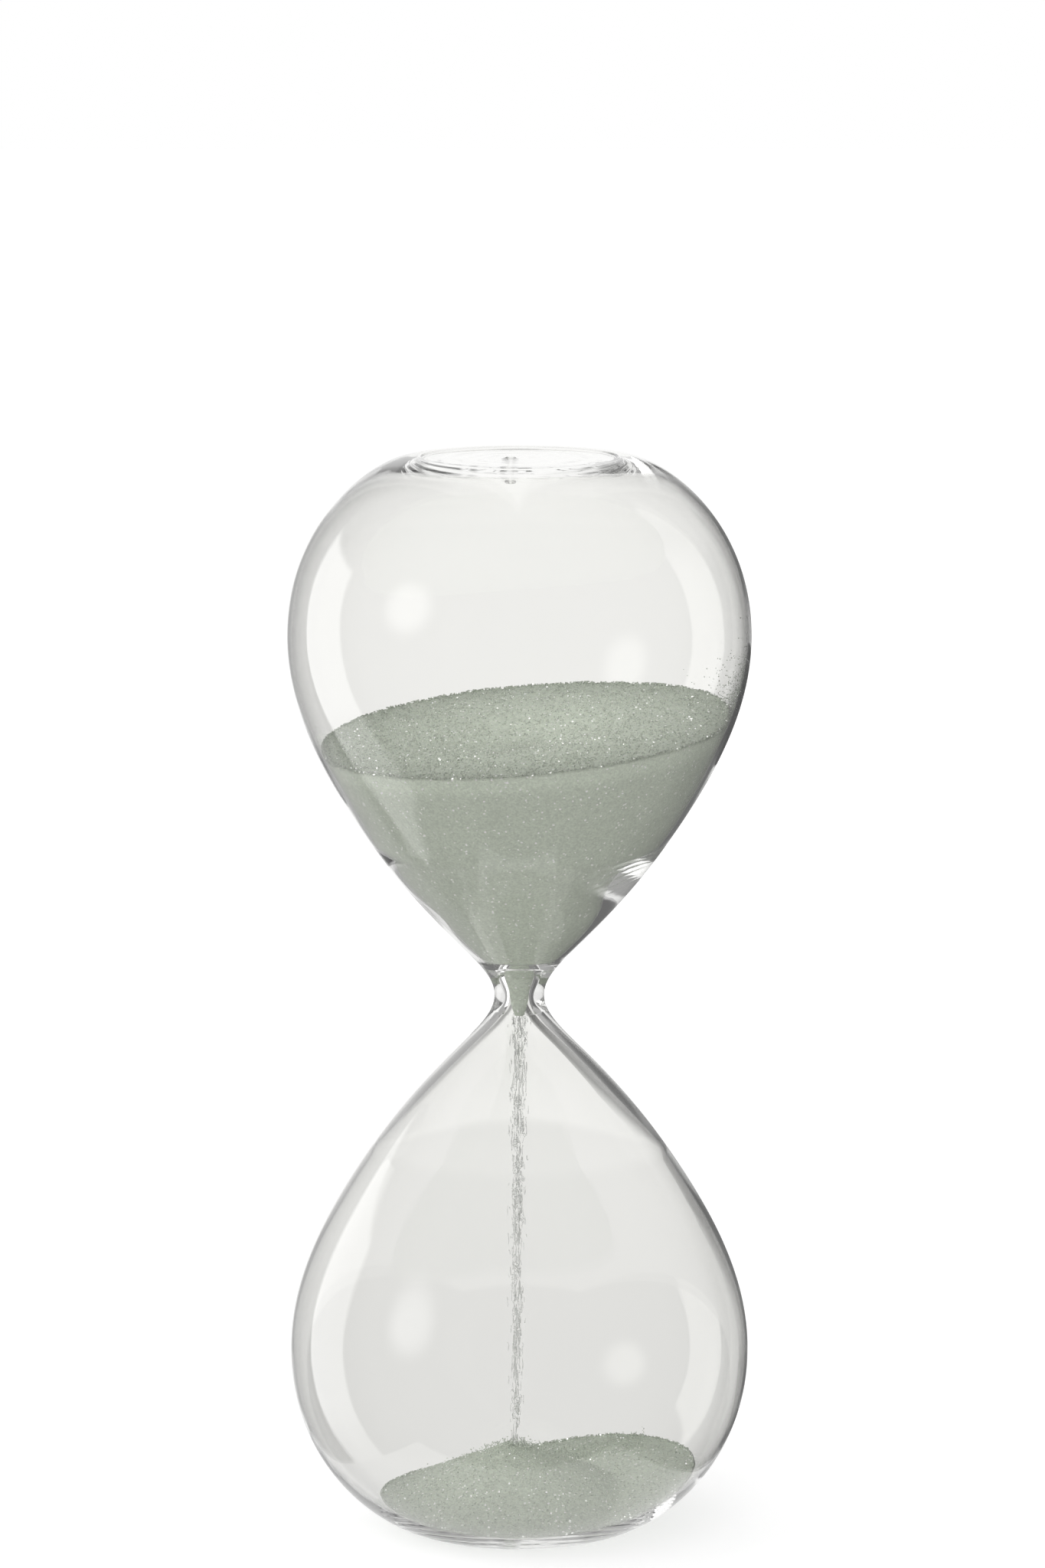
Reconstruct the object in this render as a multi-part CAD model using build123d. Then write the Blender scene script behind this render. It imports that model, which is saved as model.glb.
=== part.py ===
from build123d import *

import os
from math import cos, pi, radians, sin, tan

# A frameless hourglass of blown borosilicate glass, with a charge of fine glass-bead sand running
# from the upper bulb to the lower one.
# Millimetres, +Z up. The origin is the centre of the ring that the lower end rests on.
# The two bulbs are the same blown shape, one turned over, so the glass is drawn once as radius
# against distance from the waist, and both bulbs come from that drawing.

# ---------------------------------------------------------------- driving dimensions
HEIGHT = 250.0           # from one rest ring to the other
BULB_RADIUS = 53.3       # outside, at the equator
WAIST_RADIUS = 5.75      # outside, at the narrowest place
ORIFICE_RADIUS = 2.3     # inside, at the narrowest place: it meters the sand

EQUATOR = 83.7           # distance from the waist to a bulb's equator
CONE_RADIUS = 33.8       # a point half-way up the cone, outside
CONE_REACH = 35.3
WELD = 12.0              # distance from the waist to each weld between throat and bulb

BORE_MOUTH = (3.5, 7.6)  # the upper bore's mouth: radius and distance from the waist
BOWL_STEP = (4.3, 8.5)   # the shallow bowl over it spreads from here
BOWL_RIM = (9.2, 9.2)    # to here, where the thick throat ends
FLARE = (4.2, 4.6)       # below the waist the bore widens at once, through this point

RING_OUTER = 24.6        # the flat, fire-polished ring that the glass stands on
RING_INNER = 23.0
PUNT_RADIUS = 21.6       # flat middle of the end, set in a little
PUNT_DEPTH = 0.5

EQUATOR_WALL = 0.7       # wall thickness at the equator
CONE_WALL = 1.0          # at the point half-way up the cone
RING_WALL = 1.9          # behind the rest ring
PUNT_WALL = 1.6          # in the middle of the end

SEAL_RADIUS = 1.3        # the filling hole, closed by a melted pip of glass
SEAL_RISE = 0.35         # how far the pip stands out, still below the rest ring
SEAL_DROP = 1.4          # how far it hangs inside
SEAL_AT = -2.0           # the hole is a little off the axis, along X

SAND_GAP = 0.2           # grains touch the wall only at points, so the mass stands this far off
REPOSE = radians(24.5)   # slope at which the beads come to rest
GRAIN_RADIUS = 0.2

WAIST = HEIGHT / 2       # height of the waist
REACH = HEIGHT / 2       # distance from the waist to a rest ring

# Upper charge: how high its rim stands above the waist, how it leans, and the crater in it.
CHARGE_LEVEL = 61.6
CHARGE_TILT_ABOUT_X = 3.6
CHARGE_TILT_ABOUT_Y = -5.0
CRATER_AT = (-2.0, 3.0)
CRATER_RADIUS = 27.0
CRATER_DEPTH = 6.0
PLUG_TOP = 6.0           # the throat's sand reaches this far above the waist
PLUG_BOTTOM = 6.0        # and this far below it

# Lower sand: a fresh cone under the stream, on a bank left against one side by the last turn.
# Heights are above the rest plane.
CONE_TOP = 18.9
CONE_AT = (-1.2, 0.0)
BANK_LEVEL = 3.3         # height of the bank's plane on the axis
BANK_SLOPE = 12.4        # degrees
BANK_HEADING = 24.2      # degrees from +X towards +Y, the way that the bank rises

JET_RADIUS = 1.7         # where the jet becomes a falling stream
STREAM_FOOT_RADIUS = 0.8

WALL_GRAINS = 26
SPLASH_GRAINS = 30


# ---------------------------------------------------------------- outlines
def bezier(points, level, side):
    """One cubic of (radius, distance from the waist) points, on the given side of a waist at level."""
    return Bezier(*[(r, 0, level + side * h) for r, h in points])


def outer_curves():
    """Outside of one bulb from waist to rest ring, then over the ring and into the pushed-in end."""
    floor = REACH - PUNT_DEPTH
    return [
        [(WAIST_RADIUS, 0), (WAIST_RADIUS, 7.6), (18.1, 12.9), (CONE_RADIUS, CONE_REACH)],
        [(CONE_RADIUS, CONE_REACH), (46.5, 53.5), (BULB_RADIUS, EQUATOR - 15.2), (BULB_RADIUS, EQUATOR)],
        [(BULB_RADIUS, EQUATOR), (BULB_RADIUS, EQUATOR + 27.2), (32.6, REACH), (RING_OUTER, REACH)],
        [(RING_OUTER, REACH), (RING_INNER, REACH)],
        [(RING_INNER, REACH), (22.5, REACH), (22.2, floor), (PUNT_RADIUS, floor)],
        [(PUNT_RADIUS, floor), (0, floor)],
    ]


def throat_curves(side, inset, cone):
    """Inside of the throat, from the waist to the half-way point on the cone. Above the waist a shallow
    bowl opens over a short bore, and below it the bore flares into the bulb."""
    orifice = ORIFICE_RADIUS - inset
    if side > 0:
        mouth = (BORE_MOUTH[0] - inset, BORE_MOUTH[1])
        step = (BOWL_STEP[0] - inset, BOWL_STEP[1] + inset)
        rim = (BOWL_RIM[0] - inset, BOWL_RIM[1] + inset)
        return [
            [(orifice, 0), (orifice, 2.4), (mouth[0] - 0.1, 4.6), mouth],
            [mouth, (mouth[0] + 0.05, 8.2), (step[0] - 0.4, step[1] - 0.06), step],
            [step, rim],
            [rim, (rim[0] + 1.0, rim[1] + 1.1), (18.2 - inset, 18.4), cone],
        ]
    flare = (FLARE[0] - inset, FLARE[1])
    return [
        [(orifice, 0), (orifice, 2.2), (flare[0] - 1.2, 3.4), flare],
        [flare, (6.4 - inset, 8.4), (18.0 - inset, 18.2), cone],
    ]


def inner_curves(side, inset=0.0):
    """Inside of one bulb, from waist to the middle of the end. The inset draws it closer, for the sand."""
    lean_r, lean_h = 0.82, 0.57                      # wall direction at the half-way point
    cone = (CONE_RADIUS - lean_r * CONE_WALL - inset, CONE_REACH + lean_h * CONE_WALL)
    equator = BULB_RADIUS - EQUATOR_WALL - inset
    corner = REACH - RING_WALL - inset
    floor = REACH - PUNT_DEPTH - PUNT_WALL - inset
    return throat_curves(side, inset, cone) + [
        [cone, (45.2 - inset, 54.3), (equator, EQUATOR - 14.8), (equator, EQUATOR)],
        [(equator, EQUATOR), (equator, EQUATOR + 26.4), (33.0 - inset, corner), (25.0, corner)],
        [(25.0, corner), (23.5, corner), (22.5, floor), (20.0, floor)],
        [(20.0, floor), (0, floor)],
    ]


def edges_of(curves, side, level=WAIST):
    """Edges for a list of curves; a pair of points is a straight line."""
    made = []
    for points in curves:
        if len(points) == 2:
            (r0, h0), (r1, h1) = points
            made.append(Line((r0, 0, level + side * h0), (r1, 0, level + side * h1)))
        else:
            made.append(bezier(points, level, side))
    return made


def turned(edges):
    """A solid of revolution about Z from a closed ring of edges in the XZ plane."""
    return revolve(Face(Wire(edges)), Axis.Z, 360)


def wall_point(share, side):
    """A point on the inside wall of a bulb, at a share of the way along its cone-to-equator curve."""
    p = inner_curves(side)[-4]
    weights = [(1 - share) ** 3, 3 * share * (1 - share) ** 2, 3 * share**2 * (1 - share), share**3]
    radius = sum(w * q[0] for w, q in zip(weights, p))
    reach = sum(w * q[1] for w, q in zip(weights, p))
    return radius, WAIST + side * reach


# ---------------------------------------------------------------- glass
def glass_envelope():
    """The whole glass before it is divided at its welds, its ends still whole."""
    outside = edges_of(outer_curves(), 1) + edges_of(outer_curves(), -1)
    inside = edges_of(inner_curves(1), 1) + edges_of(inner_curves(-1), -1)
    end = REACH - PUNT_DEPTH
    axis = [
        Line((0, 0, WAIST + side * end), (0, 0, WAIST + side * (end - PUNT_WALL)))
        for side in (1, -1)
    ]
    return turned(outside + inside + axis)


def slab(low, high):
    """A block across the whole glass between two heights."""
    width = 3 * BULB_RADIUS
    return Pos(0, 0, (low + high) / 2) * Box(width, width, high - low)


def seal_hole(side):
    end = REACH - PUNT_DEPTH - PUNT_WALL / 2
    return Pos(SEAL_AT, 0, WAIST + side * end) * Cylinder(SEAL_RADIUS, 2 * PUNT_WALL)


def bulb(envelope, side):
    """One bulb, from its weld to its end, with the filling hole open."""
    if side > 0:
        part = slab(WAIST + WELD, HEIGHT + 1) & envelope
    else:
        part = slab(-1, WAIST - WELD) & envelope
    return part - seal_hole(side)


def throat(envelope):
    """The thick-walled throat between the two welds, with the orifice in it."""
    return slab(WAIST - WELD, WAIST + WELD) & envelope


def seal_pip(side):
    """The melted bead that closes a filling hole: a low head, a stem and a small hanging drop."""
    outer = REACH - PUNT_DEPTH
    inner = outer - PUNT_WALL
    r, top, foot = SEAL_RADIUS, outer + SEAL_RISE, inner - SEAL_DROP
    drop = [(0, foot), (0.7 * r, foot), (r, inner - 0.5), (r, inner)]
    stem = [(r, inner), (r, outer)]
    head = [(r, outer), (r, outer + 0.2), (0.6 * r, top), (0, top)]
    core = [(0, top), (0, foot)]
    return Pos(SEAL_AT, 0, 0) * turned(edges_of([drop, stem, head, core], side))


# ---------------------------------------------------------------- sand
def cavity(side):
    """The space that sand can fill in one bulb, from the waist to the end, clear of the seal."""
    curves = inner_curves(side, SAND_GAP)
    closing = [Line((0, 0, WAIST), (curves[0][0][0], 0, WAIST))]
    axis = [Line((0, 0, WAIST), (0, 0, WAIST + side * curves[-1][-1][1]))]
    drop = REACH - PUNT_DEPTH - PUNT_WALL - SEAL_DROP / 2
    clear = Cylinder(SEAL_RADIUS + SAND_GAP, SEAL_DROP + 2 * SAND_GAP)
    return turned(edges_of(curves, side) + closing + axis) - Pos(SEAL_AT, 0, WAIST + side * drop) * clear


def half_space(level, about_y, heading=0.0, about_x=0.0):
    """A block of everything above a leaning plane that crosses the axis at the given height."""
    size = 4 * BULB_RADIUS
    block = Pos(0, 0, size / 2) * Box(size, size, size)
    return Pos(0, 0, level) * Rot(0, 0, heading) * Rot(about_x, about_y, 0) * block


def upper_sand():
    """The charge still to run: it fills the cone of the upper bulb, leans a little, and has a shallow
    crater over the throat."""
    level = WAIST + CHARGE_LEVEL
    mass = cavity(1) & slab(WAIST + PLUG_TOP, WAIST + EQUATOR)
    mass = mass - half_space(level, CHARGE_TILT_ABOUT_Y, about_x=CHARGE_TILT_ABOUT_X)
    mouth = CRATER_RADIUS * (CRATER_DEPTH + 1) / CRATER_DEPTH
    crater = Pos(*CRATER_AT, 0.5 - CRATER_DEPTH / 2) * Cone(0, mouth, CRATER_DEPTH + 1)
    return mass - Pos(0, 0, level) * Rot(CHARGE_TILT_ABOUT_X, CHARGE_TILT_ABOUT_Y, 0) * crater


def throat_sand():
    """The sand in the orifice: it fills the throat above the waist and hangs below it as a jet."""
    plug = cavity(1) & slab(WAIST, WAIST + PLUG_TOP)
    jet_top = ORIFICE_RADIUS - SAND_GAP
    jet = Pos(0, 0, WAIST - PLUG_BOTTOM / 2) * Cone(JET_RADIUS, jet_top, PLUG_BOTTOM)
    return plug + jet


def sand_stream():
    """The falling stream, from the jet to the top of the cone, drawn thinner as it speeds up."""
    top = WAIST - PLUG_BOTTOM
    stream = Cone(STREAM_FOOT_RADIUS, JET_RADIUS, top - CONE_TOP)
    return Pos(0, 0, (CONE_TOP + top) / 2) * stream


def lower_sand():
    """The sand already run."""
    rise = BULB_RADIUS * tan(REPOSE)
    fresh = Pos(*CONE_AT, CONE_TOP - rise / 2) * Cone(BULB_RADIUS, 0, rise)
    bank = slab(0, WAIST / 2) - half_space(BANK_LEVEL, -BANK_SLOPE, heading=BANK_HEADING)
    space = cavity(-1)
    return (space & bank) + (space & fresh)


def grains(places):
    """Separate beads, one at each place."""
    return Compound(children=[Pos(*place) * Sphere(GRAIN_RADIUS) for place in places])


def wall_grains():
    """Beads that cling inside the upper bulb above the charge, on the side it leans towards."""
    places = []
    for i in range(WALL_GRAINS):
        turn = radians(-34 + 68 * ((i * 0.618) % 1.0))
        radius, height = wall_point(0.62 + 0.36 * i / WALL_GRAINS, 1)
        reach = radius - 1.6 * GRAIN_RADIUS
        places.append((reach * cos(turn), reach * sin(turn), height))
    return grains(places)


def splash_grains():
    """Beads in the air above the cone, thrown up where the stream lands."""
    places = []
    for i in range(SPLASH_GRAINS):
        turn = 2 * pi * ((i * 0.618) % 1.0)
        reach = 3.0 + 15.0 * (i / SPLASH_GRAINS) ** 1.3
        height = CONE_TOP + 1.0 + 6.0 * ((i * 0.414) % 1.0) * (1 - i / SPLASH_GRAINS)
        places.append((reach * cos(turn), reach * sin(turn), height))
    return grains(places)


# ---------------------------------------------------------------- assembly
def main():
    os.makedirs("parts", exist_ok=True)
    envelope = glass_envelope()
    nodes = {
        "upper_bulb": bulb(envelope, 1),
        "throat": throat(envelope),
        "lower_bulb": bulb(envelope, -1),
        "upper_seal_pip": seal_pip(1),
        "lower_seal_pip": seal_pip(-1),
        "upper_sand": upper_sand(),
        "throat_sand": throat_sand(),
        "sand_stream": sand_stream(),
        "lower_sand": lower_sand(),
        "wall_grains": wall_grains(),
        "splash_grains": splash_grains(),
    }
    for name, shape in nodes.items():
        export_step(shape, f"parts/{name}.step")
        print(name, "volume", round(shape.volume, 2))


main()
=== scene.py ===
import math

import bpy
import numpy as np
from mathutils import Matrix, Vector, noise


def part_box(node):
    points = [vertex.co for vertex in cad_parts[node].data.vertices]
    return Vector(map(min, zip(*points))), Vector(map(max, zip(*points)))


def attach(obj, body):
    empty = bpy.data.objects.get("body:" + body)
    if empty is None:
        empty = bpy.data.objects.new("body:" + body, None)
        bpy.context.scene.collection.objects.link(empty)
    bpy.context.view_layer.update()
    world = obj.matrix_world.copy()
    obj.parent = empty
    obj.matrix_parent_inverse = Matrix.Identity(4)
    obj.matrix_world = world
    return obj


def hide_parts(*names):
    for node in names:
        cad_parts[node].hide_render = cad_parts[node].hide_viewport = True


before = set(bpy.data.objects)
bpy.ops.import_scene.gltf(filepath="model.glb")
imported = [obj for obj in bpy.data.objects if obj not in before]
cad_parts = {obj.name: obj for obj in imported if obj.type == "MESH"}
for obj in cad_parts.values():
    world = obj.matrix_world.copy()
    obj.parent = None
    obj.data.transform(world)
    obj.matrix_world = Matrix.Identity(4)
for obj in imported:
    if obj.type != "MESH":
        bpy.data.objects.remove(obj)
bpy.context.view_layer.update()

# The hourglass in its studio: blown glass walls, a charge of fine glass-bead sand, the falling stream,
# loose beads, a pale floor and soft lights. The scene is in metres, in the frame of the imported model.
# The drawing below is in millimetres from the waist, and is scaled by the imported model's height.

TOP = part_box("upper_bulb")[1][2]
WAIST_Z = TOP / 2
HEIGHT = 250.0           # millimetres
MM = TOP / HEIGHT
rng = np.random.default_rng(7)

# ---------------------------------------------------------------- the drawing of the glass
REACH = HEIGHT / 2       # waist to rest ring
BULB_RADIUS = 53.3
WAIST_RADIUS = 5.75
EQUATOR = 83.7           # waist to the widest ring
CONE = (33.8, 35.3)      # half-way up the cone, outside
WELD = 12.0              # where bulb and throat are fused, each side of the waist
RING_OUTER = 24.6
RING_INNER = 23.0
PUNT_RADIUS = 21.6       # the end's pushed-in disc
PUNT_DEPTH = 0.5
RIPPLE = 0.012           # height of the rings left in the end by its tooling
RIPPLE_PITCH = 5.2

ORIFICE = 2.3
BORE_MOUTH = (3.5, 7.6)
BOWL_STEP = (4.3, 8.5)
BOWL_RIM = (9.2, 9.2)
FLARE = (4.2, 4.6)
EQUATOR_WALL = 0.7
CONE_WALL = 1.0
RING_WALL = 1.9
PUNT_WALL = 1.6
OUTER_UNEVEN = 0.12      # how far each skin of the glass wanders inwards
INNER_UNEVEN = 0.15
INNER_LEAN = 0.9         # how far the inside of the upper cone sits to the left

SEAL_AT = -2.0           # the seal sits a little to the left of the axis
SEAL_RADIUS = 1.3
SEAL_RISE = 0.35
SEAL_DROP = 1.4
SEAL_REACH = 14.0        # the end's rings are centred on the seal near it, and on the axis this far out

SAND_GAP = 0.12
BEAD = 0.19              # radius of one bead of the sand
PLUG_TOP = 6.0           # where the throat's sand meets the charge above it
JET_END = -4.6           # where the solid jet breaks up
CONE_AT = (-1.2, 0.0)    # where the stream lands
CONE_TOP = 19.3          # above the rest ring, if it came to a point
CONE_SLOPE = 0.456
CONE_BLUNT = 12.0        # how round its top is
BANK_LEVEL = 3.3         # the older sand behind, above the rest ring at the axis
BANK_SLOPE = (0.200, 0.090)
STREAM_THREADS = 1050
CLINGING_BEADS = 420
SPLASH_BEADS = 1500
CHARGE_LEVEL = 61.3      # top of the sand still to run, over the throat
CHARGE_SLOPE = (0.088, 0.063)  # how it rises to the right and to the back
DISH_AT = (-2.0, 3.0)    # the hollow over the throat
DISH_DEPTH = 4.5
DISH_RADIUS = 29.0
LIGHTER_BAND = (2.4, 5.6)  # depths below the charge's level between which the sand goes from painted lighter to its plain tone
PAINTED_LIFT = 1.13        # how much lighter the top of the charge is painted, a painted lift against the shade along its rim

SEGMENTS = 288           # of every revolved surface


def cubic(points, steps, start=0.0, end=1.0):
    """Points along a cubic curve, first and last included."""
    p = np.array(points, float)
    t = np.linspace(start, end, steps + 1)[:, None]
    s = 1 - t
    return s**3 * p[0] + 3 * t * s**2 * p[1] + 3 * t**2 * s * p[2] + t**3 * p[3]


def share_at(points, height):
    """How far along a rising cubic it passes a height."""
    low, high = 0.0, 1.0
    for _ in range(50):
        mid = (low + high) / 2
        if cubic(points, 1, mid, mid)[0][1] < height:
            low = mid
        else:
            high = mid
    return low


def joined(*runs):
    """One list of points from runs that each start where the last one ended."""
    points = [runs[0][0]]
    for run in runs:
        points.extend(run[1:])
    return np.array(points)


def crisp(run):
    """Adds a point close to each end, so that the smooth shading stays clear of the corners."""
    near = 0.06
    first = run[0] * (1 - near) + run[1] * near
    last = run[-1] * (1 - near) + run[-2] * near
    return np.concatenate([run[:1], [first], run[1:-1], [last], run[-1:]])


def split_at_weld(points, below, above):
    """A cubic in two runs, with that many steps below the weld and above it."""
    weld = share_at(points, WELD)
    return [cubic(points, below, 0, weld), cubic(points, above, weld, 1)]


def outer_half():
    """Outside of one bulb, as radius and distance from the waist, in three runs: from the waist to the
    weld, on to the seal, and over the seal to its middle."""
    floor = REACH - PUNT_DEPTH
    neck = [(WAIST_RADIUS, 0), (WAIST_RADIUS, 7.6), (18.1, 12.9), CONE]
    cone = [CONE, (46.5, 53.5), (BULB_RADIUS, EQUATOR - 15.2), (BULB_RADIUS, EQUATOR)]
    dome = [(BULB_RADIUS, EQUATOR), (BULB_RADIUS, EQUATOR + 27.2), (32.6, REACH), (RING_OUTER, REACH)]
    lip = [(RING_INNER, REACH), (22.5, REACH), (22.2, floor), (PUNT_RADIUS, floor)]
    below, above = split_at_weld(neck, 26, 22)
    ring = cubic([(RING_OUTER, REACH), (24.1, REACH), (23.5, REACH), (RING_INNER, REACH)], 3)
    disc = cubic([(PUNT_RADIUS, floor), (14, floor), (8, floor), (2.5, floor)], 60)
    fade = eased((disc[:, 0] - 2.5) / 3) * eased((PUNT_RADIUS - disc[:, 0]) / 3)
    disc[:, 1] += RIPPLE * fade * np.sin(2 * math.pi * disc[:, 0] / RIPPLE_PITCH)
    foot = cubic([(2.5, floor), (2.0, floor), (1.6, floor), (SEAL_RADIUS, floor + 0.06)], 4)
    head = cubic([(SEAL_RADIUS, floor + 0.06), (1.1, floor + 0.25), (0.8, floor + SEAL_RISE),
                  (0, floor + SEAL_RISE)], 8)
    body = joined(above, cubic(cone, 40), cubic(dome, 52), ring, cubic(lip, 14), disc, foot)
    return below, body, head


def inner_half(side):
    """Inside of one bulb, the same way. Above the waist a shallow bowl opens over a short bore, and
    below it the bore flares into the bulb."""
    floor = REACH - PUNT_DEPTH - PUNT_WALL
    corner = REACH - RING_WALL
    equator = BULB_RADIUS - EQUATOR_WALL
    start = (CONE[0] - 0.82 * CONE_WALL, CONE[1] + 0.57 * CONE_WALL)
    if side > 0:
        bore = cubic([(ORIFICE, 0), (ORIFICE, 2.4), (3.4, 4.6), BORE_MOUTH], 16)
        turn = cubic([BORE_MOUTH, (3.55, 8.2), (3.9, 8.44), BOWL_STEP], 14)
        bowl = cubic([BOWL_STEP, (5.9, 8.73), (7.6, 8.97), BOWL_RIM], 12)
        throat = joined(bore, turn, crisp(bowl))
        neck = [BOWL_RIM, (10.2, 10.3), (18.2, 18.4), start]
    else:
        throat = cubic([(ORIFICE, 0), (ORIFICE, 2.2), (3.0, 3.4), FLARE], 18)
        neck = [FLARE, (6.4, 8.4), (18.0, 18.2), start]
    cone = [start, (45.2, 54.3), (equator, EQUATOR - 14.8), (equator, EQUATOR)]
    dome = [(equator, EQUATOR), (equator, EQUATOR + 26.4), (33.0, corner), (25.0, corner)]
    lip = [(25.0, corner), (23.5, corner), (22.5, floor), (20.0, floor)]
    below, above = split_at_weld(neck, 12, 26)
    if side > 0:
        below = crisp(below)
    disc = cubic([(20.0, floor), (13, floor), (7, floor), (2.2, floor)], 40)
    fade = eased((disc[:, 0] - 2.2) / 3) * eased((20.0 - disc[:, 0]) / 3)
    disc[:, 1] += RIPPLE * fade * np.cos(2 * math.pi * disc[:, 0] / RIPPLE_PITCH)
    foot = cubic([(2.2, floor), (1.7, floor), (SEAL_RADIUS, floor - 0.1),
                  (SEAL_RADIUS, floor - 0.3)], 4)
    head = cubic([(SEAL_RADIUS, floor - 0.3), (SEAL_RADIUS, floor - 0.9), (0.9, floor - SEAL_DROP),
                  (0, floor - SEAL_DROP)], 8)
    body = joined(above, cubic(cone, 40), cubic(dome, 48), cubic(lip, 10), disc, foot)
    return joined(throat, below), body, head


def eased(x):
    """Goes smoothly from 0 to 1 with x, and stays there."""
    x = np.clip(x, 0, 1)
    return x * x * (3 - 2 * x)


def turned(profile, side, uneven, lean):
    """A grid of points, rows by segments, from radius and distance from the waist. Blown glass is never
    quite round: uneven is how far the wall wanders inwards, in millimetres. Lean is how far it sits to
    the left where the upper cone is thickest. It also carries the left side outwards, by less than half
    as much, at the level of the sand."""
    angle = np.linspace(0, 2 * math.pi, SEGMENTS, endpoint=False)
    radius, reach = profile[:, 0][:, None], profile[:, 1][:, None]
    sway = (
        0.45 * np.cos(2 * angle[None, :] + 0.021 * reach * side + 0.8)
        + 0.30 * np.cos(3 * angle[None, :] - 0.034 * reach * side + 2.1)
        + 0.25 * np.cos(5 * angle[None, :] + 0.050 * reach * side + 4.0)
    )
    r = radius + uneven * eased((radius - 8) / 30) * (sway - 1) / 2
    near_seal = (1 - eased((radius - 2.5) / (SEAL_REACH - 2.5))) * (reach > REACH - 12)
    thick = np.exp(-(((reach - 25) / 8) ** 2)) * (side > 0)
    on_left = np.clip(-np.cos(angle), 0, 1)[None, :]
    thin = 0.45 * np.exp(-(((reach - 62) / 15) ** 2)) * (side > 0) * on_left
    x = r * np.cos(angle)[None, :] + SEAL_AT * near_seal - lean * (thick + thin)
    y = r * np.sin(angle)[None, :]
    z = side * reach + 0 * x
    return np.stack([x, y, z], axis=2)


def is_pole(row):
    """Whether a row of a grid is shrunk to one point."""
    return np.ptp(row, axis=0).max() < 1e-6


def grid_normals(grid, outward):
    """Smooth normals of a grid of points, so that pieces cut from it still shade as one surface."""
    along = np.gradient(grid, axis=0)
    around = np.roll(grid, -1, axis=1) - np.roll(grid, 1, axis=1)
    n = np.cross(around, along)
    n = n / np.maximum(np.linalg.norm(n, axis=2, keepdims=True), 1e-12)
    probe = len(grid) // 2
    facing = (n[probe] * grid[probe])[:, :2].sum(axis=1).mean()
    if (facing > 0) != outward:
        n = -n
    for row in (0, -1):
        if is_pole(grid[row]):
            n[row] = [0, 0, math.copysign(1, grid[row, 0, 2]) * (1 if outward else -1)]
    return n


class Wall:
    """One skin of the glass, from pole to pole, with its normals and the rows where it is divided."""

    def __init__(self, halves, uneven, lean, outward):
        (below_u, body_u, head_u), (below_l, body_l, head_l) = halves
        upper = turned(joined(below_u, body_u, head_u)[::-1], 1, uneven, lean)
        lower = turned(joined(below_l, body_l, head_l), -1, uneven, lean)
        self.points = np.concatenate([upper, lower[1:]])
        self.normals = grid_normals(self.points, outward)
        self.seal_top = len(head_u) - 1
        self.weld_top = self.seal_top + len(body_u) - 1
        self.waist = self.weld_top + len(below_u) - 1
        self.weld_bottom = self.waist + len(below_l) - 1
        self.seal_bottom = self.weld_bottom + len(body_l) - 1
        self.last = len(self.points) - 1


def ring_faces(rows, spokes, base=0):
    """Quads between the rows of a grid whose columns close on themselves."""
    i, j = np.meshgrid(np.arange(rows - 1), np.arange(spokes), indexing="ij")
    k = (j + 1) % spokes
    low, high = i * spokes, (i + 1) * spokes
    quads = np.stack([low + j, high + j, high + k, low + k], axis=2)
    return quads.reshape(-1, 4) + base


def build_mesh(name, points, faces, materials, slots=None, normals=None):
    """A smooth-shaded object from points in metres. Slots give each face's material, and normals each
    face corner's."""
    mesh = bpy.data.meshes.new(name)
    mesh.from_pydata(np.asarray(points).tolist(), [], faces)
    for material in materials:
        mesh.materials.append(material)
    if slots is not None:
        mesh.polygons.foreach_set("material_index", slots)
    mesh.polygons.foreach_set("use_smooth", [True] * len(faces))
    mesh.update()
    if normals is not None:
        mesh.normals_split_custom_set(np.asarray(normals).tolist())
    piece = bpy.data.objects.new(name, mesh)
    bpy.context.scene.collection.objects.link(piece)
    return piece


def in_place(points):
    """Millimetres from the waist to metres in the frame."""
    return np.asarray(points) * MM + np.array([0, 0, WAIST_Z])


def glass_piece(name, outer, outer_rows, inner, inner_rows, node):
    """A closed piece of the glass between two rows of each skin. Where it is fused to its neighbour
    the closing faces carry the weld material, which light crosses unchanged."""
    points = np.empty((0, 3))
    point_normals = np.empty((0, 3))
    faces, slots, normals = [], [], []
    ends = []
    for skin, (first, last), flip in ((outer, outer_rows, False), (inner, inner_rows, True)):
        base = len(points)
        block = skin.points[first:last + 1]
        points = np.concatenate([points, block.reshape(-1, 3)])
        point_normals = np.concatenate([point_normals, skin.normals[first:last + 1].reshape(-1, 3)])
        quads = ring_faces(len(block), SEGMENTS, base)
        start, end = base, base + (len(block) - 1) * SEGMENTS
        ends.append((start, end))
        for quad in quads.tolist():
            if quad[0] < start + SEGMENTS and is_pole(block[0]):
                quad = [start, quad[1], quad[2]]
            elif quad[1] >= end and is_pole(block[-1]):
                quad = [quad[0], end, quad[3]]
            if flip:
                quad = quad[::-1]
            faces.append(quad)
            slots.append(0)
            normals.extend(point_normals[q] for q in quad)

    def add_weld(ring_out, ring_in, up):
        for j in range(SEGMENTS):
            k = (j + 1) % SEGMENTS
            quad = [ring_out + j, ring_out + k, ring_in + k, ring_in + j]
            faces.append(quad if up else quad[::-1])
            slots.append(1)
            normals.extend([(0, 0, 1 if up else -1)] * 4)

    if outer_rows[0] > 0:
        add_weld(ends[0][0], ends[1][0], True)
    if outer_rows[1] < outer.last:
        add_weld(ends[0][1], ends[1][1], False)

    used = sorted({q for face in faces for q in face})
    place = {q: i for i, q in enumerate(used)}
    faces = [[place[q] for q in face] for face in faces]
    piece = build_mesh(name, in_place(points[used]), faces, [GLASS, WELD_FACE], slots, normals)
    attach(piece, "root")
    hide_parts(node)
    return piece


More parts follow.
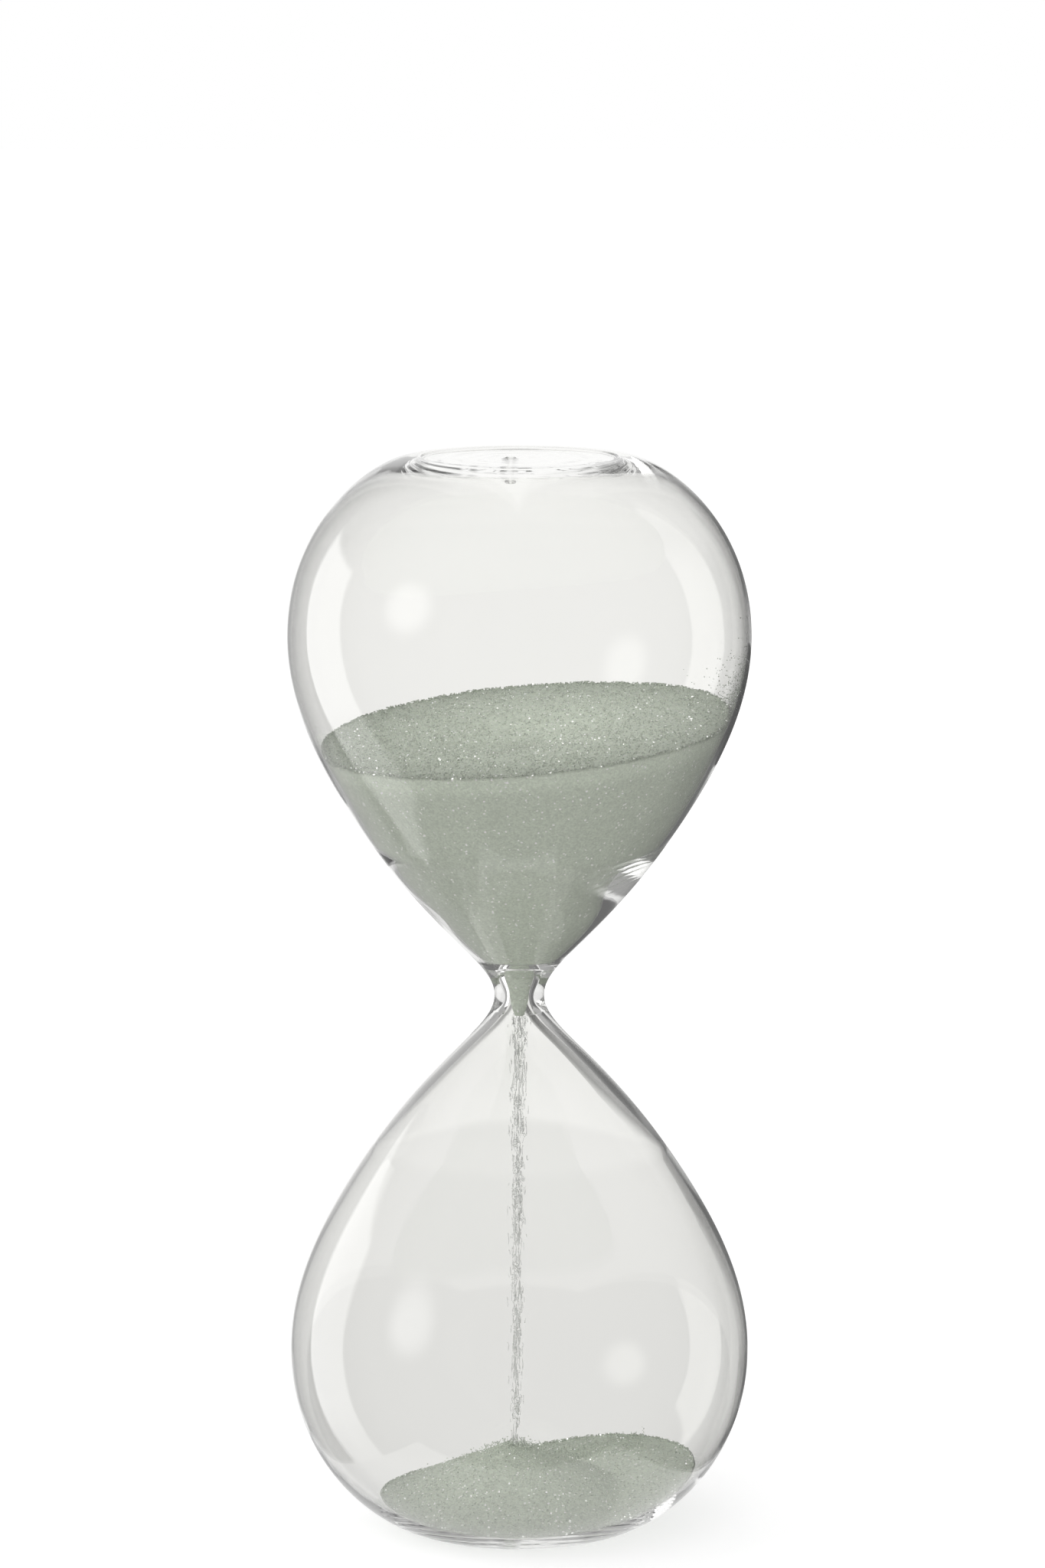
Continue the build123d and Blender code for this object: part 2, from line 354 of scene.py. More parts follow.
# ---------------------------------------------------------------- materials
def new_material(name):
    """A material with its nodes, its links and its Principled shader."""
    material = bpy.data.materials.new(name)
    material.use_nodes = True
    nodes = material.node_tree.nodes
    return material, nodes, material.node_tree.links, nodes["Principled BSDF"]


def glass_material():
    """Clear blown borosilicate with faint waves in its skin."""
    material, nodes, links, shader = new_material("blown_glass")
    shader.inputs["Base Color"].default_value = (0.986, 0.985, 0.970, 1)
    shader.inputs["Transmission Weight"].default_value = 1.0
    shader.inputs["Roughness"].default_value = 0.0
    shader.inputs["IOR"].default_value = 1.47
    where = nodes.new("ShaderNodeTexCoord")
    stretch = nodes.new("ShaderNodeMapping")
    stretch.inputs["Scale"].default_value = (60, 60, 22)
    links.new(where.outputs["Object"], stretch.inputs["Vector"])
    waves = nodes.new("ShaderNodeTexNoise")
    waves.inputs["Scale"].default_value = 1.0
    waves.inputs["Detail"].default_value = 2.0
    links.new(stretch.outputs["Vector"], waves.inputs["Vector"])
    bump = nodes.new("ShaderNodeBump")
    bump.inputs["Strength"].default_value = 0.12
    bump.inputs["Distance"].default_value = 0.0004
    links.new(waves.outputs["Fac"], bump.inputs["Height"])
    links.new(bump.outputs["Normal"], shader.inputs["Normal"])
    return material


def weld_material():
    """The plane where two pieces are fused: there is no surface there for light to meet."""
    material, _, _, shader = new_material("fused_weld")
    shader.inputs["Base Color"].default_value = (1, 1, 1, 1)
    shader.inputs["Alpha"].default_value = 0.0
    return material


def sand_material(name, tint, spread, bump_height, painted_glint_light, painted_lighter_top=False):
    """Fine beads of pale sage glass, each one a slightly different tone. A few are painted near white
    and given a small glow, as painted glints of light. With a painted lighter top, the sand is painted
    lighter near the level of the charge, a painted lift against the shade along its rim."""
    material, nodes, links, shader = new_material(name)
    where = nodes.new("ShaderNodeTexCoord")
    cells = nodes.new("ShaderNodeTexVoronoi")
    cells.inputs["Scale"].default_value = 1.0 / (2 * BEAD * MM)
    links.new(where.outputs["Object"], cells.inputs["Vector"])
    pick = nodes.new("ShaderNodeSeparateColor")
    links.new(cells.outputs["Color"], pick.inputs["Color"])
    # tone of one bead
    ramp = nodes.new("ShaderNodeValToRGB")
    ramp.color_ramp.elements[0].position = 0.0
    ramp.color_ramp.elements[0].color = [c * (1 - spread) for c in tint] + [1]
    ramp.color_ramp.elements[1].position = 1.0
    ramp.color_ramp.elements[1].color = [min(1, c * (1 + spread)) for c in tint] + [1]
    links.new(pick.outputs["Red"], ramp.inputs["Fac"])
    # slow drift of tone over the mass
    drift = nodes.new("ShaderNodeTexNoise")
    drift.inputs["Scale"].default_value = 70.0
    drift.inputs["Detail"].default_value = 3.0
    links.new(where.outputs["Object"], drift.inputs["Vector"])
    tone = nodes.new("ShaderNodeMapRange")
    tone.inputs["To Min"].default_value = 0.95
    tone.inputs["To Max"].default_value = 1.05
    links.new(drift.outputs["Fac"], tone.inputs["Value"])
    amount = tone.outputs["Result"]
    # painted light: the sand is painted lighter near the charge's level, fading out with depth, to lift
    # the shade along its rim against the glass
    if painted_lighter_top:
        level = nodes.new("ShaderNodeVectorMath")
        level.operation = "DOT_PRODUCT"
        level.inputs[1].default_value = (-CHARGE_SLOPE[0], -CHARGE_SLOPE[1], 1)
        links.new(where.outputs["Object"], level.inputs[0])
        loose = nodes.new("ShaderNodeMapRange")
        loose.interpolation_type = "SMOOTHSTEP"
        loose.inputs["From Min"].default_value = WAIST_Z + (CHARGE_LEVEL - LIGHTER_BAND[1]) * MM
        loose.inputs["From Max"].default_value = WAIST_Z + (CHARGE_LEVEL - LIGHTER_BAND[0]) * MM
        loose.inputs["To Min"].default_value = 1.0
        loose.inputs["To Max"].default_value = PAINTED_LIFT
        links.new(level.outputs["Value"], loose.inputs["Value"])
        both = nodes.new("ShaderNodeMath")
        both.operation = "MULTIPLY"
        links.new(amount, both.inputs[0])
        links.new(loose.outputs["Result"], both.inputs[1])
        amount = both.outputs["Value"]
    shade = nodes.new("ShaderNodeVectorMath")
    shade.operation = "SCALE"
    links.new(ramp.outputs["Color"], shade.inputs[0])
    links.new(amount, shade.inputs["Scale"])
    # painted glints: a share of the cells is painted near white and made to glow a little, a painted
    # highlight standing in for light caught by single beads
    lift = nodes.new("ShaderNodeMix")
    lift.data_type = "RGBA"
    lift.inputs["B"].default_value = (1, 1, 0.98, 1)
    painted_glint = nodes.new("ShaderNodeMath")
    painted_glint.operation = "GREATER_THAN"
    painted_glint.inputs[1].default_value = 1 - PAINTED_GLINT_SHARE
    links.new(pick.outputs["Green"], painted_glint.inputs[0])
    links.new(painted_glint.outputs["Value"], lift.inputs["Factor"])
    links.new(shade.outputs["Vector"], lift.inputs["A"])
    links.new(lift.outputs["Result"], shader.inputs["Base Color"])
    links.new(painted_glint.outputs["Value"], shader.inputs["Emission Strength"])
    shader.inputs["Emission Color"].default_value = [painted_glint_light] * 3 + [1]
    rough = nodes.new("ShaderNodeMapRange")
    rough.inputs["To Min"].default_value = 0.65
    rough.inputs["To Max"].default_value = 0.40
    links.new(pick.outputs["Blue"], rough.inputs["Value"])
    links.new(rough.outputs["Result"], shader.inputs["Roughness"])
    bump = nodes.new("ShaderNodeBump")
    bump.invert = True
    bump.inputs["Strength"].default_value = 0.35
    bump.inputs["Distance"].default_value = bump_height * MM
    links.new(cells.outputs["Distance"], bump.inputs["Height"])
    links.new(bump.outputs["Normal"], shader.inputs["Normal"])
    return material


SAND_TINT = (0.765, 0.830, 0.722)
BEAD_TINT = (0.765, 0.825, 0.73)
# The falling stream is the same sand as the charge, painted lighter so that it looks lit.
STREAM_LIT_TINT = (0.90, 0.92, 0.89)
PAINTED_GLINT_SHARE = 0.02       # of all beads, painted near white and glowing as painted glints
GLASS = glass_material()
WELD_FACE = weld_material()
# Each sand below has a few cells painted near white with a small glow: painted glints, not light from
# the lamps.
PACKED = {"spread": 0.10, "bump_height": 0.10, "painted_glint_light": 0.16}
SAND = sand_material("sage_sand", SAND_TINT, **PACKED)
CHARGE_SAND = sand_material("sage_charge", SAND_TINT, **PACKED, painted_lighter_top=True)
BEADS = sand_material("sage_beads", BEAD_TINT, spread=0.24, bump_height=0.03, painted_glint_light=0.95)
LIT_STREAM_BEADS = sand_material("lit_stream_beads", STREAM_LIT_TINT, spread=0.20, bump_height=0.03, painted_glint_light=0.30)

# ---------------------------------------------------------------- glass
outside = Wall((outer_half(), outer_half()), uneven=OUTER_UNEVEN, lean=0.0, outward=True)
inside = Wall((inner_half(1), inner_half(-1)), uneven=INNER_UNEVEN, lean=INNER_LEAN, outward=False)
glass_piece("upper_seal_pip_glass", outside, (0, outside.seal_top), inside, (0, inside.seal_top),
            "upper_seal_pip")
glass_piece("upper_bulb_glass", outside, (outside.seal_top, outside.weld_top),
            inside, (inside.seal_top, inside.weld_top), "upper_bulb")
glass_piece("throat_glass", outside, (outside.weld_top, outside.weld_bottom),
            inside, (inside.weld_top, inside.weld_bottom), "throat")
glass_piece("lower_bulb_glass", outside, (outside.weld_bottom, outside.seal_bottom),
            inside, (inside.weld_bottom, inside.seal_bottom), "lower_bulb")
glass_piece("lower_seal_pip_glass", outside, (outside.seal_bottom, outside.last),
            inside, (inside.seal_bottom, inside.last), "lower_seal_pip")


# ---------------------------------------------------------------- sand
def charge_height(x, y):
    """Top of the sand still to run, in millimetres above the waist: it rises a little to the right and
    is hollowed over the throat."""
    plane = CHARGE_LEVEL + CHARGE_SLOPE[0] * x + CHARGE_SLOPE[1] * y
    dish = -DISH_DEPTH * (1 - eased(np.hypot(x - DISH_AT[0], y - DISH_AT[1]) / DISH_RADIUS))
    return plane + dish


def heap_height(x, y):
    """Top of the sand already run, in millimetres from the waist: a fresh cone on a bank."""
    out = np.sqrt((x - CONE_AT[0]) ** 2 + (y - CONE_AT[1]) ** 2 + CONE_BLUNT)
    cone = CONE_TOP - CONE_SLOPE * out
    bank = BANK_LEVEL + BANK_SLOPE[0] * x + BANK_SLOPE[1] * y
    blend = 0.25 * np.exp(-np.abs(cone - bank) / 0.7)
    return np.maximum(cone, bank) + blend - REACH


def ripple(x, y, side):
    """The slight unevenness of a loose surface."""
    bumps = np.vectorize(lambda a, b: noise.noise(Vector((a * 0.16, b * 0.16, side * 5.0))))
    return 0.22 * bumps(x, y)


SAND_SKIN = inside.points + SAND_GAP * inside.normals


def skin_from(side):
    """The sand's skin against the glass on one side of the waist, in rows from its low end upwards."""
    if side > 0:
        return SAND_SKIN[:inside.waist + 1][::-1]
    return SAND_SKIN[inside.waist:][::-1]


def distances(path):
    """How far each point of a grid lies along its column."""
    step = np.linalg.norm(np.diff(path, axis=0), axis=2)
    return np.concatenate([np.zeros((1, path.shape[1])), np.cumsum(step, axis=0)])


def first_above(path, along, level_of):
    """Per column, the distance at which the path first rises above a surface."""
    over = path[:, :, 2] - level_of(path[:, :, 0], path[:, :, 1])
    found = np.empty(path.shape[1])
    for j in range(path.shape[1]):
        i = int(np.argmax(over[:, j] > 0))
        a, b = over[max(i - 1, 0), j], over[i, j]
        share = 0.0 if i == 0 else -a / (b - a)
        found[j] = along[max(i - 1, 0), j] + share * (along[i, j] - along[max(i - 1, 0), j])
    return found


def between(path, along, start, end, rows):
    """Rows along each column of a grid between two distances, closest together at the start."""
    share = np.linspace(0, 1, rows + 1) ** 1.6
    picked = np.empty((rows + 1, path.shape[1], 3))
    for j in range(path.shape[1]):
        s = start[j] + (end[j] - start[j]) * share
        for c in range(3):
            picked[:, j, c] = np.interp(s, along[:, j], path[:, j, c])
    return picked


def closed_mass(name, grid, node, material):
    """A closed solid of sand from a grid of rows, with a point at the middle of each end."""
    rows, spokes = grid.shape[:2]
    points = np.concatenate([grid.reshape(-1, 3), [grid[0].mean(axis=0)], [grid[-1].mean(axis=0)]])
    low, high = rows * spokes, rows * spokes + 1
    last = (rows - 1) * spokes
    faces = ring_faces(rows, spokes)[:, ::-1].tolist()
    faces.extend([low, (j + 1) % spokes, j] for j in range(spokes))
    faces.extend([high, last + j, last + (j + 1) % spokes] for j in range(spokes))
    piece = build_mesh(name, in_place(points), faces, [material])
    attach(piece, "root")
    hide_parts(node)
    return piece


def sand_mass(name, node, side, bottom, height_of, side_rows, rings):
    """A mass of sand with a skin that follows the glass and a loose top. Its bottom is a height, or
    None where it lies on the end of the bulb. Returns its rim."""
    path = skin_from(side)
    along = distances(path)
    start = along[0] if bottom is None else first_above(path, along, lambda x, y: bottom + 0 * x)
    end = first_above(path, along, lambda x, y: height_of(x, y) + ripple(x, y, side))
    skin = between(path, along, start, end, side_rows)
    rim = skin[-1]
    grid = [skin]
    for k in range(1, rings):
        x, y = rim[:, 0] * (1 - k / rings), rim[:, 1] * (1 - k / rings)
        z = height_of(x, y) + ripple(x, y, side) + 0.08 * rng.uniform(-1, 1, SEGMENTS)
        grid.append(np.stack([x, y, z], axis=1)[None])
    closed_mass(name, np.concatenate(grid), node, CHARGE_SAND if side > 0 else SAND)
    return rim


upper_rim = sand_mass("upper_sand_mass", "upper_sand", 1, PLUG_TOP, charge_height, 120, 110)
lower_rim = sand_mass("lower_sand_mass", "lower_sand", -1, None, heap_height, 60, 100)

# the sand in the throat, down to where the jet breaks up
path = skin_from(1)
along = distances(path)
bore = between(path, along, along[0], first_above(path, along, lambda x, y: PLUG_TOP + 0 * x), 24)
jet = []
spokes = np.linspace(0, 2 * math.pi, SEGMENTS, endpoint=False)
for h in np.linspace(JET_END, 0, 16, endpoint=False):
    fall = h / JET_END
    r = (ORIFICE - SAND_GAP) * (1 - 0.30 * fall - 0.30 * fall**3)
    r = r + 0.09 * fall * np.sin(9 * spokes + 3 * h)
    jet.append(np.stack([r * np.cos(spokes), r * np.sin(spokes), h + 0 * spokes], axis=1))
closed_mass("throat_sand_plug", np.concatenate([np.array(jet), bore]), "throat_sand", SAND)


def icosphere():
    """The points and faces of one bead of unit radius."""
    g = (1 + 5**0.5) / 2
    points = [(-1, g, 0), (1, g, 0), (-1, -g, 0), (1, -g, 0), (0, -1, g), (0, 1, g),
              (0, -1, -g), (0, 1, -g), (g, 0, -1), (g, 0, 1), (-g, 0, -1), (-g, 0, 1)]
    faces = [(0, 11, 5), (0, 5, 1), (0, 1, 7), (0, 7, 10), (0, 10, 11), (1, 5, 9), (5, 11, 4),
             (11, 10, 2), (10, 7, 6), (7, 1, 8), (3, 9, 4), (3, 4, 2), (3, 2, 6), (3, 6, 8), (3, 8, 9),
             (4, 9, 5), (2, 4, 11), (6, 2, 10), (8, 6, 7), (9, 8, 1)]
    p = np.array(points, float)
    return p / np.linalg.norm(p[0]), np.array(faces)


def beads(name, centres, low, high, node=None, material=None):
    """Separate beads in one piece, their sizes spread between two shares of the usual one. With a node,
    they stand in for it."""
    unit, faces = icosphere()
    centres = np.asarray(centres)
    sizes = BEAD * rng.uniform(low, high, len(centres))
    points = centres[:, None, :] + unit[None, :, :] * sizes[:, None, None]
    shifted = faces[None, :, :] + (np.arange(len(centres)) * len(unit))[:, None, None]
    piece = build_mesh(name, in_place(points.reshape(-1, 3)), shifted.reshape(-1, 3).tolist(),
                       [material or BEADS])
    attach(piece, "root")
    if node:
        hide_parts(node)
    return piece


def strewn(rim, height_of, side, count, rim_count):
    """Beads that stand proud of a loose surface, and along its rim."""
    column = rng.uniform(0, SEGMENTS, count + rim_count)
    share = np.sqrt(rng.uniform(0, 1, count + rim_count))
    share[count:] = rng.uniform(0.992, 1.0, rim_count)
    i = column.astype(int)
    part = (column - i)[:, None]
    edge = rim[i] * (1 - part) + rim[(i + 1) % SEGMENTS] * part
    shrink = share * (1 - 0.3 / np.hypot(edge[:, 0], edge[:, 1]))
    x, y = edge[:, 0] * shrink, edge[:, 1] * shrink
    lift = rng.uniform(-0.02, 0.12, count + rim_count)
    lift[count:] = rng.uniform(-0.3, 0.5, rim_count)
    z = height_of(x, y) + ripple(x, y, side) + lift
    return np.stack([x, y, z], axis=1)


loose_above = strewn(upper_rim, charge_height, 1, count=9000, rim_count=3000)
beads("upper_sand_surface_beads", loose_above, 0.85, 1.30)
loose_below = strewn(lower_rim, heap_height, -1, count=4500, rim_count=2400)
beads("lower_sand_surface_beads", loose_below, 0.75, 1.15)

# the falling stream: short threads of beads, about one in five of them straying wider
stream = []
stream_top, stream_foot = JET_END + 3.4, float(heap_height(*CONE_AT))
for _ in range(STREAM_THREADS):
    h = stream_foot + (stream_top - stream_foot) * rng.uniform() ** 0.85
    fall = (stream_top - h) / (stream_top - stream_foot)
    clump = noise.noise(Vector((h * 0.55, 7, 1)))
    reach = (1.65 - 0.75 * fall) * (1 + 0.5 * clump)
    if rng.uniform() < 0.22:
        reach *= 1.8
    turn = rng.uniform(0, 2 * math.pi)
    out = reach * rng.uniform() ** 0.55
    wander = 0.25 * noise.noise(Vector((h * 0.13, 0, 3))) + 0.10 * noise.noise(Vector((h * 0.8, 0, 9)))
    x, y = wander - 0.9 * fall + out * math.cos(turn), out * math.sin(turn)
    for k in range(int(rng.integers(2, 8))):
        dx, dy = rng.normal(0, 0.06, 2)
        stream.append((x + dx, y + dy, max(h - 0.36 * k, stream_foot)))
beads("sand_stream_beads", stream, 0.48, 0.82, "sand_stream", LIT_STREAM_BEADS)

# beads that cling to the glass above the charge
clinging = []
for _ in range(CLINGING_BEADS):
    column = int(round(rng.normal(0, 11))) % SEGMENTS
    h = 66.0 + abs(rng.normal(0, 6.0))
    row = int(np.argmin(np.abs(SAND_SKIN[:inside.waist, column, 2] - h)))
    spot = inside.points[row, column] + BEAD * inside.normals[row, column]
    clinging.append(spot + rng.uniform(-0.5, 0.5, 3) * (0, 1, 1))
beads("wall_grain_beads", clinging, 0.5, 0.95, "wall_grains")

# beads in the air over the heap: half of them round the foot of the stream, half along the bank behind
splash = []
for k in range(SPLASH_BEADS):
    a = rng.uniform(0, 2 * math.pi)
    reach = abs(rng.normal(0, 9.0)) + 0.8
    x, y = reach * math.cos(a) - 0.5, reach * math.sin(a) + 1.0
    if k % 2:
        x, y = rng.uniform(-4, 30), rng.uniform(20, 30)
    splash.append((x, y, float(heap_height(x, y)) + 0.2 + abs(rng.normal(0, 0.7))))
beads("splash_grain_beads", splash, 0.55, 1.0, "splash_grains")


# ---------------------------------------------------------------- studio
def studio_sheet(name, outline, height, material):
    """A level sheet of the studio, from its outline and its height."""
    mesh = bpy.data.meshes.new(name)
    mesh.from_pydata([(x, y, 0) for x, y in outline], [], [list(range(len(outline)))])
    mesh.materials.append(material)
    sheet = bpy.data.objects.new(name, mesh)
    sheet.location = (0, 0, height)
    bpy.context.scene.collection.objects.link(sheet)
    return sheet


def floor_material():
    """A plain matt floor, lit evenly enough to stay white."""
    material, _, _, shader = new_material("studio_floor")
    shader.inputs["Base Color"].default_value = (0.55, 0.55, 0.55, 1)
    shader.inputs["Roughness"].default_value = 0.9
    shader.inputs["Specular IOR Level"].default_value = 0.0
    shader.inputs["Emission Color"].default_value = (1, 1, 1, 1)
    shader.inputs["Emission Strength"].default_value = 0.66
    material.cycles.emission_sampling = "NONE"
    return material


FLOOR_HALF = 6.0         # half the floor's width
FLOOR_DROP = 0.0002      # how far it lies under the glass
outline = [(-FLOOR_HALF, -FLOOR_HALF), (FLOOR_HALF, -FLOOR_HALF),
           (FLOOR_HALF, FLOOR_HALF), (-FLOOR_HALF, FLOOR_HALF)]
floor = studio_sheet("studio_floor", outline, -FLOOR_DROP, floor_material())
floor.visible_glossy = False
floor.visible_transmission = False


class Painter:
    """Builds a brightness from a direction or a place, for the studio round the glass."""

    def __init__(self, tree, source):
        self.nodes, self.links = tree.nodes, tree.links
        aim = self.nodes.new("ShaderNodeVectorMath")
        aim.operation = "NORMALIZE"
        self.links.new(source, aim.inputs[0])
        self.direction = aim.outputs["Vector"]
        split = self.nodes.new("ShaderNodeSeparateXYZ")
        self.links.new(self.direction, split.inputs["Vector"])
        towards_camera = self.math("MULTIPLY", split.outputs["Y"], -1.0)
        self.azimuth = self.math("ARCTAN2", split.outputs["X"], towards_camera)
        self.elevation = self.math("ARCSINE", split.outputs["Z"])

    def math(self, operation, a, b=None):
        """The result of a Math node, on sockets or numbers."""
        node = self.nodes.new("ShaderNodeMath")
        node.operation = operation
        for socket, value in zip(node.inputs, (a, b)):
            if value is None:
                continue
            if isinstance(value, (int, float)):
                socket.default_value = value
            else:
                self.links.new(value, socket)
        return node.outputs["Value"]

    def step(self, value, start, end):
        """Goes smoothly from 0 to 1 while the value goes from start to end."""
        node = self.nodes.new("ShaderNodeMapRange")
        node.interpolation_type = "SMOOTHSTEP"
        self.links.new(value, node.inputs["Value"])
        node.inputs["From Min"].default_value = min(start, end)
        node.inputs["From Max"].default_value = max(start, end)
        node.inputs["To Min"].default_value = 0.0 if start < end else 1.0
        node.inputs["To Max"].default_value = 1.0 if start < end else 0.0
        return node.outputs["Result"]

    def turn(self, value, start, end):
        """The same for an angle, with its limits in degrees."""
        return self.step(value, math.radians(start), math.radians(end))

    def sector(self, angle, low, high, soft):
        """1 between two angles in degrees, with soft ends."""
        return self.math("MULTIPLY", self.turn(angle, low - soft, low + soft),
                         self.turn(angle, high + soft, high - soft))

    def lighting(self):
        """1 for light on its way to or from a matt surface, 0 for what the glass alone shows."""
        path = self.nodes.new("ShaderNodeLightPath")
        return self.math("GREATER_THAN", path.outputs["Diffuse Depth"], 0.5)

    def seen_through(self):
        """1 for light that has crossed the glass without being mirrored in it."""
        path = self.nodes.new("ShaderNodeLightPath")
        return self.math("LESS_THAN", path.outputs["Glossy Depth"], 0.5)

    def patch(self, azimuth, elevation, core, edge):
        """A soft round patch, with the angles from its centre at which it starts to fade and ends."""
        a, e = math.radians(azimuth), math.radians(elevation)
        dot = self.nodes.new("ShaderNodeVectorMath")
        dot.operation = "DOT_PRODUCT"
        self.links.new(self.direction, dot.inputs[0])
        centre = (math.sin(a) * math.cos(e), -math.cos(a) * math.cos(e), math.sin(e))
        dot.inputs[1].default_value = centre
        return self.turn(self.math("ARCCOSINE", dot.outputs["Value"]), edge, core)

    def mixed(self, under, over, mask):
        """Over where the mask is 1, and under where it is 0."""
        node = self.nodes.new("ShaderNodeMix")
        node.data_type = "FLOAT"
        self.links.new(mask, node.inputs["Factor"])
        for name, value in (("A", under), ("B", over)):
            if isinstance(value, (int, float)):
                node.inputs[name].default_value = value
            else:
                self.links.new(value, node.inputs[name])
        return node.outputs["Result"]


# The studio as brightness by azimuth and elevation, in degrees. Azimuth is from the camera's side
# towards +X, so the backdrop is at 180 and the left is negative.
SOFTBOX = (-131, -100)   # a tall softbox on the left
SOFTBOX_HEIGHT = (-52, 22)
SOFTBOX_LEAN = 0.22      # degrees towards the camera per degree down
SOFTBOX_LIGHT = 1.55
SOFTBOX_FOOT_LIGHT = 1.0
PANEL = (80, 124)        # a dim panel on the right
PANEL_HEIGHT = (-45, 40)
PANEL_LIGHT = 0.24
ROUND_AT = (-60, 17.5)   # a round light, front left
ROUND_LIGHT = 1.6
DARK_RIGHT = 0.15        # wings beside the backdrop
GREY_LEFT = 0.42
ROOF_FROM = (8, 24)      # the dark wing on the right gives way to the ceiling between these heights
ROOF_LIGHT = 0.45
CAMERA_SIDE = 0.20
BACKDROP_LEFT, BACKDROP_RIGHT = -167, 173
BACKDROP_LIGHT = 1.0


def studio_round(paint, camera_side, dark_right, grey_left):
    """Softbox, panel, round light, wings and backdrop, over what the camera's side shows."""
    left = paint.sector(paint.azimuth, BACKDROP_LEFT, SOFTBOX[0], 2)
    value = paint.mixed(camera_side, grey_left, left)
    wing = paint.mixed(dark_right, ROOF_LIGHT, paint.turn(paint.elevation, *ROOF_FROM))
    value = paint.mixed(value, wing, paint.sector(paint.azimuth, PANEL[1], BACKDROP_RIGHT, 3))
    behind = paint.math("ADD", paint.turn(paint.azimuth, BACKDROP_RIGHT - 3, BACKDROP_RIGHT + 3),
                        paint.turn(paint.azimuth, BACKDROP_LEFT + 3, BACKDROP_LEFT - 3))
    value = paint.mixed(value, BACKDROP_LIGHT, behind)
    panel = paint.math("MULTIPLY", paint.sector(paint.azimuth, *PANEL, 4),
                       paint.sector(paint.elevation, *PANEL_HEIGHT, 8))
    value = paint.mixed(value, PANEL_LIGHT, panel)
    leaning = paint.math("ADD", paint.azimuth, paint.math("MULTIPLY", paint.elevation, SOFTBOX_LEAN))
    box = paint.math("MULTIPLY", paint.sector(leaning, *SOFTBOX, 1),
                     paint.sector(paint.elevation, *SOFTBOX_HEIGHT, 1.5))
    glow = paint.mixed(SOFTBOX_FOOT_LIGHT, SOFTBOX_LIGHT, paint.turn(paint.elevation, -40, -20))
    value = paint.mixed(value, glow, box)
    return paint.mixed(value, ROUND_LIGHT, paint.patch(*ROUND_AT, 6, 17))


SWEEP_NEAR, SWEEP_FAR = 0.85, 0.985  # the white sweep behind the glass, near and far
SWEEP_RIGHT, SWEEP_LEFT = 0.0555, 0.061  # where its edges pass the glass
SPLAY_RIGHT, SPLAY_LEFT = 0.085, 0.16  # how they spread away from the camera
SWEEP_FRONT = -0.07      # where it ends, in front of the glass
SWEEP_REACH = 3.0
FLOOR_FILL = 0.95        # what the floor gives to the sand


def sweep_brightness(paint, place):
    """The sweep as the glass shows it, and as it lights the sand."""
    split = paint.nodes.new("ShaderNodeSeparateXYZ")
    paint.links.new(place, split.inputs["Vector"])
    value = paint.mixed(SWEEP_NEAR, SWEEP_FAR, paint.step(split.outputs["Y"], 0.1, 0.9))
    return paint.mixed(value, FLOOR_FILL, paint.lighting())


def sweep():
    """The white sweep that the glass stands on, for what the glass mirrors and bends. It widens away
    from the camera, and beside it there is only the room."""
    material = bpy.data.materials.new("sweep")
    material.use_nodes = True
    tree = material.node_tree
    tree.nodes.clear()
    where = tree.nodes.new("ShaderNodeTexCoord")
    glow = tree.nodes.new("ShaderNodeEmission")
    paint = Painter(tree, where.outputs["Object"])
    tree.links.new(sweep_brightness(paint, where.outputs["Object"]), glow.inputs["Strength"])
    out = tree.nodes.new("ShaderNodeOutputMaterial")
    tree.links.new(glow.outputs["Emission"], out.inputs["Surface"])
    material.cycles.emission_sampling = "NONE"
    corners = [(-SWEEP_LEFT - SPLAY_LEFT * max(y, 0), y) for y in (SWEEP_REACH, 0, SWEEP_FRONT)]
    corners += [(SWEEP_RIGHT + SPLAY_RIGHT * max(y, 0), y) for y in (SWEEP_FRONT, 0, SWEEP_REACH)]
    sheet = studio_sheet("sweep", corners, -FLOOR_DROP / 2, material)
    sheet.visible_camera = False
    sheet.visible_diffuse = False
    sheet.visible_shadow = False


sweep()

FILL_SIDES = 0.62        # the light that reaches the sand: from the sides,
FILL_ZENITH = 0.56       # from overhead,
KEY_AT = (-78, 38)       # and from a large lamp high on the left
KEY_LIGHT = 2.5
FRONT_AT = (5, 34)       # and from a softer one above the camera
FRONT_LIGHT = 1.45
FILL_WINGS = (0.42, 0.75)  # right and left, beside the backdrop
CLEAR_ROUND = (-155, 157)  # past the wings, plain walls show through the glass,
CLEAR_LOW, CLEAR_HIGH = 0.88, 0.95  # below and above the horizon


